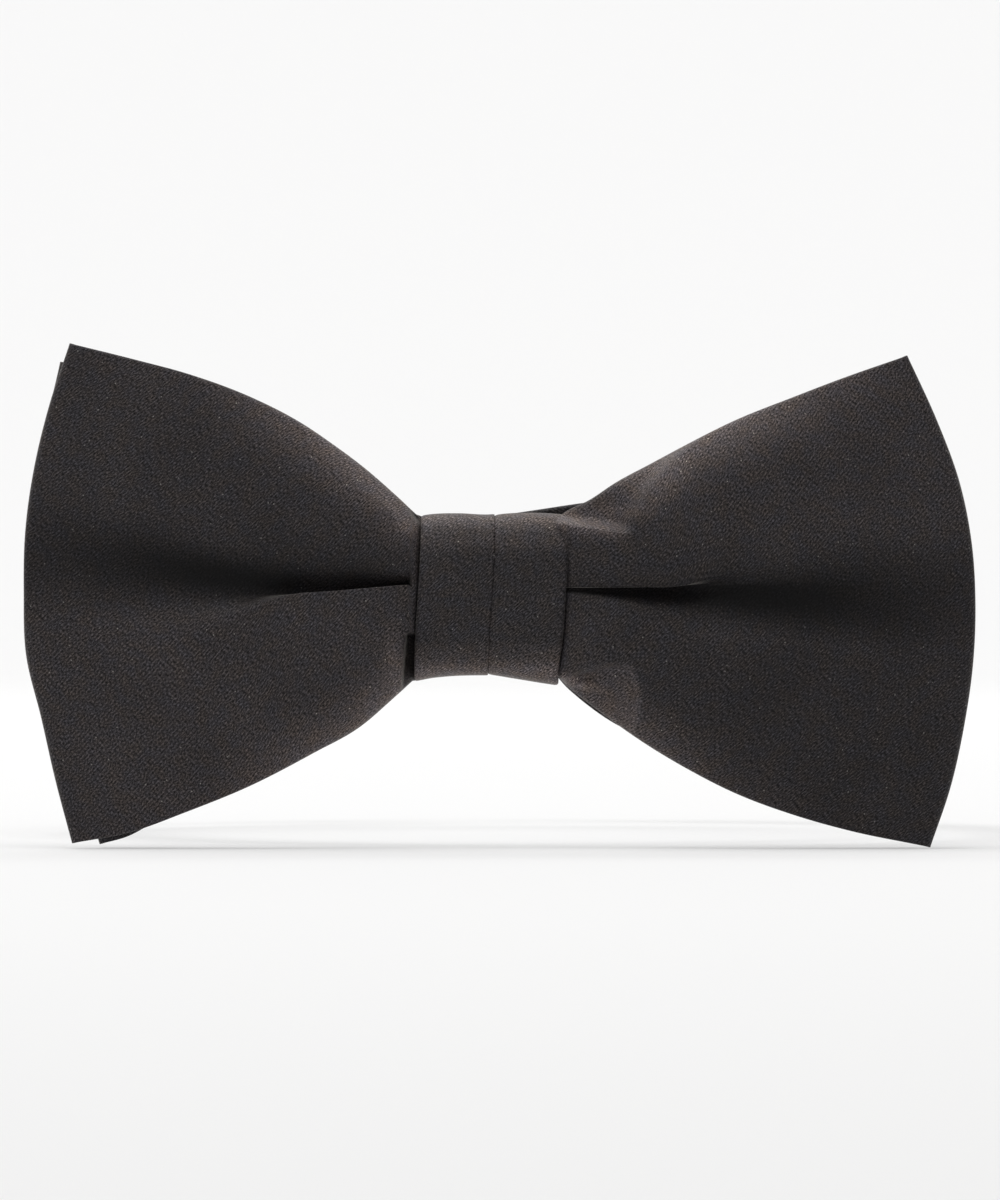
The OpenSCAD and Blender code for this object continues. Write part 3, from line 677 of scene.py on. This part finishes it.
def bow_mesh(name, left, right, front_at, back_at, depth, thickness):
    """A bow: a closed loop of padded cloth. left and right are (front layer, back layer)."""
    n_s = 181
    s = np.linspace(-1, 1, n_s)
    s = s - 0.6 * np.sin(2 * math.pi * s) / (2 * math.pi)     # closest at the crease and the edges
    us = np.concatenate([np.linspace(-0.35, 0, 8)[:-1], np.linspace(0, 1, 165) ** 1.25])
    right_cols, right_tones = wing_columns(*right, s, us, front_at, back_at, depth)
    left_cols, left_tones = wing_columns(*left, s, us, front_at, back_at, depth)
    ring = np.concatenate([right_cols, left_cols[::-1][1:-1]])
    tones = np.concatenate([right_tones, left_tones[::-1][1:-1]])
    normal = unit(np.cross(round_ring(ring), np.gradient(ring, axis=1)))
    if normal[len(us) // 2, n_s // 4, 1] > 0:     # the front layer's normals point forward
        normal = -normal
    length = lengths_along(ring[:, n_s // 2])
    thick = thickness * (0.42 + 0.58 * smoothstep((np.abs(s) - 0.30) / 0.5))[None, :, None]
    inner = ring - normal * thick
    width = np.linalg.norm(np.diff(ring, axis=1), axis=2)
    v_ring = np.concatenate([np.zeros((len(ring), 1)), np.cumsum(width, axis=1)], axis=1)
    v_ring -= v_ring[:, n_s // 2:n_s // 2 + 1]
    caps = 6

    def cap(outer_edge, inner_edge, before, v_edge, sign):
        mid, half = (outer_edge + inner_edge) / 2, (outer_edge - inner_edge) / 2
        out = unit(outer_edge - before)
        r = np.linalg.norm(half, axis=1, keepdims=True)
        flat = 1 - 0.9 * np.abs(out[:, 2:])       # no nubs where the fold meets the edge
        k = np.arange(1, caps + 1)
        angle = (math.pi * k / (caps + 1))[:, None]
        turned = mid[:, None] + half[:, None] * np.cos(angle) + (out * r * flat)[:, None] * np.sin(angle)
        return turned, v_edge[:, None] + sign * 0.25 * k

    top_cap, v_top = cap(ring[:, -1], inner[:, -1], ring[:, -2], v_ring[:, -1], 1)
    low_cap, v_low = cap(ring[:, 0], inner[:, 0], ring[:, 1], v_ring[:, 0], -1)
    points = np.concatenate([ring, top_cap, inner[:, ::-1], low_cap[:, ::-1]], axis=1)
    v_all = np.concatenate([v_ring, v_top, v_ring[:, ::-1] + 100, v_low[:, ::-1]], axis=1)
    top_edge, low_edge = np.repeat(tones[:, -1:], caps, axis=1), np.repeat(tones[:, :1], caps, axis=1)
    tones = np.concatenate([tones, top_edge, tones[:, ::-1], low_edge], axis=1)
    uvs = np.stack([np.broadcast_to(length[:, None], v_all.shape), v_all], axis=2)
    return grid_object(name, points, uvs, BOW_SATIN, "bow_satin", fold_shade=tones[:, :, 0],
                       fold_light=tones[:, :, 1])


FRONT_LAYERS = 3.9        # from the front bow's front face to its back face, at the knot
REAR_LAYERS = 3.5
front_bow = bow_mesh("front_bow", (FRONT_LEFT, FRONT_LEFT_BACK), (FRONT_RIGHT, FRONT_RIGHT_BACK),
                     FRONT_FACE, FRONT_FACE - FRONT_LAYERS, front_depth, 0.95)
rear_bow = bow_mesh("rear_bow", (REAR_LEFT, REAR_LEFT), (REAR_RIGHT, REAR_RIGHT),
                    REAR_BACK + REAR_LAYERS, REAR_BACK, plain_depth, 0.9)
for bow, nodes in ((front_bow, ("front_bow_cover", "front_bow_interlining")),
                   (rear_bow, ("rear_bow_cover", "rear_bow_interlining"))):
    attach(bow, "bow")
    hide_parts(*nodes)

# ---- The knot

KNOT_HALF_H = 10.5


def knot_mesh():
    """One band of satin round the bows. Its left pleat laps over its right one."""
    # Profile across the knot: place along x, height above the wrap's ground.
    outside = [(-8.85, -0.85), (-9.04, -0.70), (-9.12, -0.45), (-9.11, -0.24), (-9.02, -0.08), (-8.85, 0.00)]
    outside += [(x, 0.02 + 0.12 * (1 - ((x + 4.4) / 4.4) ** 2)) for x in np.linspace(-8.6, -0.35, 26)]
    outside += [(-0.08, 0.02), (0.08, -0.01), (0.17, -0.08), (0.17, -0.17), (0.08, -0.24), (-0.06, -0.27),
                (-0.06, -0.29), (0.10, -0.28), (0.26, -0.20), (0.45, -0.13)]
    outside += [(x, -0.11 + 0.12 * (1 - ((x - 4.9) / 4.5) ** 2)) for x in np.linspace(0.8, 9.0, 26)]
    outside += [(9.26, -0.15), (9.42, -0.25), (9.50, -0.45), (9.48, -0.75), (9.34, -0.95)]
    inside = [(9.0, -1.05), (4, -1.05), (0.3, -1.05), (-4, -0.95), (-8.6, -0.95)]
    profile = np.array(outside + inside)
    top = curve_through([(-9.5, 10.35), (-8, 10.5), (-4.5, 10.55), (-0.5, 10.5), (0.3, 10.6), (5, 10.75),
                         (9.5, 10.6)])
    low = curve_through([(-9.1, -10.6), (-7, -10.1), (-5, -9.85), (-0.5, -9.8), (0.3, -9.85), (4, -10.3),
                         (9.3, -11.2)])
    mid_f = (KNOT_FRONT + KNOT_BACK) / 2
    half_f = (KNOT_FRONT - KNOT_BACK) / 2 - 0.1
    # A rounded box, with its points evenly spaced along it.
    power = 2 / 2.9
    t = np.linspace(0, 2 * math.pi, 4001)
    dense = np.stack([np.sign(np.sin(t)) * np.abs(np.sin(t)) ** power,
                      np.sign(np.cos(t)) * np.abs(np.cos(t)) ** power], axis=1)
    along = lengths_along(dense * (KNOT_HALF_H, half_f))
    place = np.linspace(0, along[-1], 240, endpoint=False)
    ring = np.stack([np.interp(place, along, dense[:, k]) for k in (0, 1)], axis=1)
    ahead = round_ring(ring) * (KNOT_HALF_H, half_f)
    x, h = profile.T
    z_unit, f_unit = ring[:, :1], ring[:, 1:]
    nz, nf = -ahead[:, 1:], ahead[:, :1]
    n = np.hypot(nz, nf) * np.where(nz * z_unit + nf * f_unit < 0, -1, 1)
    z = np.where(z_unit > 0, top(x), -low(x)) * z_unit + h * nz / n
    f = mid_f + half_f * f_unit + h * nf / n
    drawn_in = knot_right(z) - knot_lean(z) - KNOT_RIGHT
    lean = knot_lean(z) + drawn_in * np.maximum(x, 0) / KNOT_RIGHT
    points = np.stack([x + lean, -f, z], axis=2)
    uvs = np.stack(np.broadcast_arrays(x + 0.5, place[:, None]), axis=2)
    # Painted highlight: the knot's upper and lower rims are lightened towards its front.
    reach = np.where(z > 0, 8.0, 7.3)
    painted_rim_light = 0.26 * smoothstep((np.abs(z) - 5.2) / 2.0) + 0.72 * smoothstep((np.abs(z) - reach) / 2.2)
    light = painted_rim_light * smoothstep((f_unit + 0.1) / 0.5)
    return grid_object("knot", points, uvs, KNOT_SATIN, "knot_satin", fold_light=light)


knot = knot_mesh()
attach(knot, "bow")
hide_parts("knot_wrap", "knot_interlining")

# ---- Neckband

BAND_W = 20.0
BAND_T = 1.3
PLY = BAND_T / 2
TILT = math.tan(math.radians(8.5))        # the band's slope behind the knot, as seen from the front
EDGE_SEAMS = (-BAND_W / 2 + 1.5, BAND_W / 2 - 1.5)
MIDDLE_Y = -62.0                          # where the band passes behind the knot


def smooth_path(points, steps=3):
    """A Catmull-Rom curve through points."""
    p = np.array(points, float)
    p = np.vstack([2 * p[0] - p[1], p, 2 * p[-1] - p[-2]])
    out = []
    for i in range(1, len(p) - 2):
        for t in np.linspace(0, 1, steps, endpoint=False):
            out.append(0.5 * (2 * p[i] + (p[i + 1] - p[i - 1]) * t
                              + (2 * p[i - 1] - 5 * p[i] + 4 * p[i + 1] - p[i + 2]) * t**2
                              + (3 * p[i] - p[i - 1] - 3 * p[i + 1] + p[i + 2]) * t**3))
    out.append(p[-2])
    return np.array(out)


def ribbon(name, centres, thickness):
    """A pressed strap and its length: a rounded section swept along a path, with its width along Z."""
    half_w, half_t = BAND_W / 2, thickness / 2
    edge = min(0.5, half_t * 0.9)
    flat = np.linspace(-half_w + edge, half_w - edge, 17)
    crown = 1 - 0.12 * (flat / half_w) ** 2
    side = [(half_w - edge + edge * math.cos(a), half_t * 0.88 * math.sin(a))
            for a in np.linspace(1.25, -1.25, 7)]
    profile = [(w, half_t * c) for w, c in zip(flat, crown)] + side
    profile += [(w, -half_t * c) for w, c in zip(flat[::-1], crown)] + [(-w, -t) for w, t in side]
    profile = np.array(profile)
    tangent = unit(np.gradient(centres, axis=0))
    face = unit(np.cross([0.0, 0.0, 1.0], tangent))
    wide = np.cross(tangent, face)
    # The band narrows a little where it is held behind the knot.
    from_knot = np.hypot(centres[:, 0], centres[:, 1] - MIDDLE_Y)
    narrowed = np.where(centres[:, 1] < 0, 1 - 0.08 * (1 - smoothstep((from_knot - 8) / 22)), 1)
    points = (centres[:, None] + wide[:, None] * profile[None, :, :1] * narrowed[:, None, None]
              + face[:, None] * profile[None, :, 1:])
    length, around = lengths_along(centres), lengths_along(profile)
    uvs = np.stack(np.broadcast_arrays(length[:, None], around[None, :]), axis=2)
    return grid_object(name, points, uvs, BAND_SATIN, "band_satin", closed=False), float(length[-1])


def round_neck(unrolled, side):
    """Turns (distance round the neck, height above the loop's inside) into points. side is 1 for +X."""
    angle = unrolled[:, 0] / NECK_R
    r = NECK_R + unrolled[:, 1]
    return np.stack([side * r * np.sin(angle), -r * np.cos(angle), 0 * r], axis=1)


def degrees_round(x, y):
    return math.degrees(math.atan2(abs(x), -y))


def unrolled_place(x, y):
    """The distance round the neck and the height of a place, as round_neck takes them."""
    return math.radians(degrees_round(x, y)) * NECK_R, math.hypot(x, y) - NECK_R


def front_part(points):
    """Lifts the band behind the knot to its flat, tilted middle piece, and eases it back to the loop."""
    angle = np.degrees(np.arctan2(np.abs(points[:, 0]), -points[:, 1]))
    r = np.hypot(points[:, 0], points[:, 1])
    flat_r = (BAND_BACK + PLY) / np.cos(np.radians(np.minimum(angle, 30)))
    ease = smoothstep((angle - 7.5) / 10.0)
    new_r = np.where(angle < 25, flat_r * (1 - ease) + r * ease, r)
    out = points * (new_r / r)[:, None]
    out[:, 2] = (out[:, 0] * TILT + 1.05) * (1 - smoothstep((angle - 8) / 38))
    return out


slider_low, slider_high = mm_box("slider_frame")
SLIDER_X, SLIDER_Y = (slider_low[:2] + slider_high[:2]) / 2
SLIDER_AT, SLIDER_H = unrolled_place(SLIDER_X, SLIDER_Y)
EYE_AT, EYE_H = unrolled_place(EYE_X, EYE_Y)
HOOK_AT, HOOK_H = unrolled_place(HOOK_X, HOOK_Y)

# The long half: from the knot to just past the slider.
places = np.stack([np.linspace(0, SLIDER_AT + 3.6, 220), np.full(220, PLY)], axis=1)
long_band, long_length = ribbon("long_band", front_part(round_neck(places, 1)), BAND_T)
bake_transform(long_band)
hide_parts("long_band_cover", "long_band_interlining", "band_centre_cover",
            "band_centre_interlining")

# The short half: to the eye, round its bar, and back on itself.
plies = [(d, PLY) for d in np.linspace(0, EYE_AT - 2.2, 110)]
plies += [(EYE_AT + 1.45 * math.sin(a), EYE_H - 1.45 * math.cos(a))
          for a in np.linspace(0.1, math.pi * 0.95, 8)]
plies += [(EYE_AT - 1.9, 3.25), (EYE_AT - 3.4, 2.35), (EYE_AT - 5.0, 1.98)]
plies += [(d, PLY + BAND_T) for d in np.linspace(EYE_AT - 6.5, EYE_AT - 13.5, 8)]
short_path = front_part(round_neck(smooth_path(plies), -1))
short_band, short_length = ribbon("short_band", short_path, BAND_T - 0.05)
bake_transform(short_band)
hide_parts("short_band_cover", "short_band_interlining")

# The doubled strap: over the slider's bar, out to the hook, back, and round the slider's bar.
OUTER_PLY, INNER_PLY, STRAP_T = 3.4, 2.05, 0.95
over = [(SLIDER_AT + d, h) for d, h in ((-4.9, 1.0), (-4.0, 1.35), (-3.0, 2.7), (-1.9, 4.5), (-0.7, 5.55),
                                        (0.7, 5.6), (2.1, 5.0), (3.6, 3.95), (5.0, 3.45))]
over += [(d, OUTER_PLY) for d in np.linspace(SLIDER_AT + 6.5, HOOK_AT - 3.5, 40)]
over += [(HOOK_AT - 1.9, 3.7)]
over += [(HOOK_AT + 1.3 * math.sin(a), HOOK_H - 1.3 * math.cos(a))
         for a in np.linspace(math.pi * 0.93, 0.12, 8)]
over += [(HOOK_AT - 1.9, 1.75), (HOOK_AT - 3.4, 2.0)]
over += [(d, INNER_PLY) for d in np.linspace(HOOK_AT - 5.0, SLIDER_AT + 4.5, 40)]
over += [(SLIDER_AT + 3.0, 2.0), (SLIDER_AT + 1.4, 1.95)]
over += [(SLIDER_AT + 1.28 * math.sin(a), SLIDER_H + 1.28 * math.cos(a))
         for a in np.linspace(math.pi * 1.02, math.pi * 2.1, 9)]
over += [(SLIDER_AT + 1.5, 3.55), (SLIDER_AT + 2.6, 2.98)]
strap, strap_length = ribbon("doubled_strap", round_neck(smooth_path(over), 1), STRAP_T)
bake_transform(strap)
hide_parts("band_over_slider", "slider_loop", "slider_loop_stitches", "long_band_return")


def seam(name, path, height, side, shape=None):
    """Rows of machine stitches that stand on a strap's face. path is (distance, height) round the neck."""
    pitch, run, sides, rings = 2.4, 1.7, 6, 5
    length = lengths_along(path)
    swell = np.sin(np.linspace(0.15, math.pi - 0.15, rings)) ** 0.5
    flat, rise, faces = [], [], []
    for z in EDGE_SEAMS:
        for start in np.arange(1.0, length[-1] - pitch, pitch):
            place = start + np.linspace(0, run, rings)
            d = np.interp(place, length, path[:, 0])
            h = np.interp(place, length, path[:, 1]) + height
            base = len(flat)
            for i in range(rings):
                for k in range(sides):
                    a = 2 * math.pi * k / sides
                    flat.append((d[i], h[i] + 0.11 * swell[i] * math.cos(a)))
                    rise.append(z + 0.17 * swell[i] * math.sin(a))
                    if i < rings - 1:
                        here, after = base + i * sides + k, base + i * sides + (k + 1) % sides
                        faces.append((here, after, after + sides, here + sides))
            faces.append([base + k for k in range(sides)])
            faces.append([base + (rings - 1) * sides + k for k in reversed(range(sides))])
    points = round_neck(np.array(flat), side)
    if shape:
        points = shape(points)
    points[:, 2] += rise
    obj = add_mesh(name, (points * MM).tolist(), faces, THREAD)
    point_outwards(obj)
    return obj


long_seam = seam("long_band_seams", places[places[:, 0] > SWING_X + 4], PLY + 0.02, 1, front_part)
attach(long_seam, "long_band")
single = np.array([p for p in plies if p[1] == PLY and SWING_X + 4 < p[0] < EYE_AT - 15])
short_seam = seam("short_band_seams", single, PLY, -1, front_part)
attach(short_seam, "short_band")
strap_run = np.array([(d, OUTER_PLY) for d in np.linspace(SLIDER_AT + 8, HOOK_AT - 5, 60)])
strap_seam = seam("strap_seams", strap_run, STRAP_T / 2 + 0.02, 1)
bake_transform(strap_seam)


# ---- Metalwork

WIRE_R = 0.75


def tube(name, path, radius, closed=True, sides=16, material=ENAMEL, slot="clasp_metal"):
    """Round wire or thread along a path, in millimetres."""
    path = np.array(path, float)
    tangent = unit(round_ring(path) if closed else np.gradient(path, axis=0))
    angles = 2 * math.pi * np.arange(sides)[:, None] / sides
    points = np.zeros((len(path), sides, 3))
    reference = np.cross(tangent[0], [0.3, 0.5, 0.8])
    for i in range(len(path)):
        reference = unit(reference - tangent[i] * (reference @ tangent[i]))
        other = np.cross(tangent[i], reference)
        points[i] = path[i] + radius * (np.cos(angles) * reference + np.sin(angles) * other)
    return grid_object(name, points, None, material, slot, closed)


def rounded_loop(x0, x1, half_z, corner, far_corner=None):
    """A rectangle with rounded corners, as (x, z). far_corner is the radius of the two corners at x1."""
    far = far_corner or corner
    out = []
    for cx, cz, r, start in ((x1 - far, half_z - far, far, 0), (x0 + corner, half_z - corner, corner, 90),
                             (x0 + corner, corner - half_z, corner, 180), (x1 - far, far - half_z, far, 270)):
        for a in np.radians(np.linspace(start, start + 90, 7)):
            out.append((cx + r * math.cos(a), cz + r * math.sin(a)))
    dense = []
    for (ax, az), (bx, bz) in zip(out, out[1:] + out[:1]):
        n = max(1, int(math.hypot(bx - ax, bz - az) / 1.2))
        dense += [(ax + (bx - ax) * k / n, az + (bz - az) * k / n) for k in range(n)]
    return np.array(dense)


def placed(points, at_x, at_y, turn):
    """Points (along, inward depth, z) set down at a bar, turned about Z by turn radians."""
    c, d = math.cos(turn), math.sin(turn)
    p = np.array(points, float)
    return np.stack([at_x + c * p[:, 0] - d * p[:, 1], at_y + d * p[:, 0] + c * p[:, 1], p[:, 2]], axis=1)


def placed_line(line, at_x, at_y, turn):
    return placed([(x, 0, z) for x, z in line], at_x, at_y, turn)


def join(objects, name):
    bpy.ops.object.select_all(action="DESELECT")
    for o in objects:
        o.select_set(True)
    bpy.context.view_layer.objects.active = objects[0]
    bpy.ops.object.join()
    objects[0].name = name
    return objects[0]


eye_angle = math.radians(degrees_round(EYE_X, EYE_Y) + 5)
eye_loop = rounded_loop(0, 11, BAND_W / 2 + 0.95, 1.3, far_corner=2.6)
eye_points = placed_line(eye_loop, -EYE_X, EYE_Y, eye_angle)
eye_points[:, 0] *= -1
eye = tube("eye_loop", eye_points, WIRE_R)
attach(eye, "eye")
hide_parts("eye")

slider_tilt = math.atan2(SLIDER_H * 2 - 2 * (BAND_T + 0.7), 12.4)
slider_turn = math.radians(degrees_round(SLIDER_X, SLIDER_Y)) - slider_tilt
rim = placed_line(rounded_loop(-6.2, 6.2, BAND_W / 2 + 1.1, 1.5), SLIDER_X, SLIDER_Y, slider_turn)
bar_line = [(0, z) for z in np.linspace(-BAND_W / 2 - 1.0, BAND_W / 2 + 1.0, 24)]
bar = placed_line(bar_line, SLIDER_X, SLIDER_Y, slider_turn)
slider = join([tube("slider_rim", rim, 0.8), tube("slider_bar", bar, WIRE_R, closed=False)], "slider_buckle")
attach(slider, "slider")
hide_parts("slider_frame")


def hook_plate():
    """A flat tongue bent back on itself at its nose, with rounded edges and a rounded tip."""
    nose_r, nose_x, back_l, half_w, edge = 1.4, 20.1, 6.5, 4.0, 0.34
    path = [(x, 0.0) for x in np.linspace(3.6, nose_x, 24)]
    path += [(nose_x + nose_r * math.sin(a), -nose_r * (1 - math.cos(a)))
             for a in np.linspace(0.2, math.pi, 14)]
    path += [(x, -2 * nose_r) for x in np.linspace(nose_x - 0.6, nose_x - back_l, 10)]
    centres = np.array([(x, y, 0.0) for x, y in path])
    length = lengths_along(centres)
    left = length[-1] - length
    half = half_w * np.sqrt(np.clip(1 - (1 - np.clip(left / 2.6, 0, 1)) ** 2, 0.04, 1))
    half = np.where(length < 6, half_w + 1.6 * (1 - smoothstep(length / 6.0)), half)
    face = np.cross([0, 0, 1.0], unit(np.gradient(centres, axis=0)))
    rows = []
    for c, f, h in zip(centres, face, half):
        corner = [(h, -0.16), (h - edge * 0.4, -0.42), (h - edge, -0.5)]
        outline = [(-w, t) for w, t in corner] + [(w, -0.5) for w in np.linspace(-h + 0.9, h - 0.9, 7)]
        outline += corner[::-1]
        outline += [(w, -t) for w, t in outline[::-1]]
        rows.append([c + np.array([0, 0, w]) + f * t for w, t in outline])
    return np.array(rows)


hook_turn = math.radians(degrees_round(HOOK_X, HOOK_Y) + 9)
rows = hook_plate()
plate_points = placed(rows.reshape(-1, 3), HOOK_X, HOOK_Y, hook_turn).reshape(rows.shape)
plate = grid_object("hook_tongue", plate_points, None, ENAMEL, "clasp_metal", closed=False)
bow_wire = placed_line(rounded_loop(0, 4.2, BAND_W / 2 + 1.2, 1.2), HOOK_X, HOOK_Y, hook_turn)
hook = join([plate, tube("hook_wire", bow_wire, WIRE_R)], "hook_piece")
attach(hook, "hook")
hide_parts("hook")

# The thread wound round the gathered bows, under the knot.
turns = []
ring = rounded_loop(-FRONT_FACE - 0.25, -REAR_BACK + 0.25, CENTRE_H + 0.25, 2.6)
drift = np.abs(np.linspace(-0.35, 0.35, len(ring)))
for n, x in enumerate(np.linspace(-1.9, 1.9, 5)):
    path = np.stack([x + drift * (1 if n % 2 else -1), ring[:, 0], ring[:, 1]], axis=1)
    turns.append(tube(f"turn_{n}", path, 0.24, sides=10, material=THREAD, slot="thread"))
winding = join(turns, "gather_winding")
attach(winding, "bow")
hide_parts("gather_thread")

for node in ("knot_closing_stitches", "band_tack_stitches", "short_band_stitches"):
    thread = frame["nodes"][node]
    thread.data.materials.clear()
    thread.data.materials.append(THREAD)
    for p in thread.data.polygons:
        p.use_smooth = True
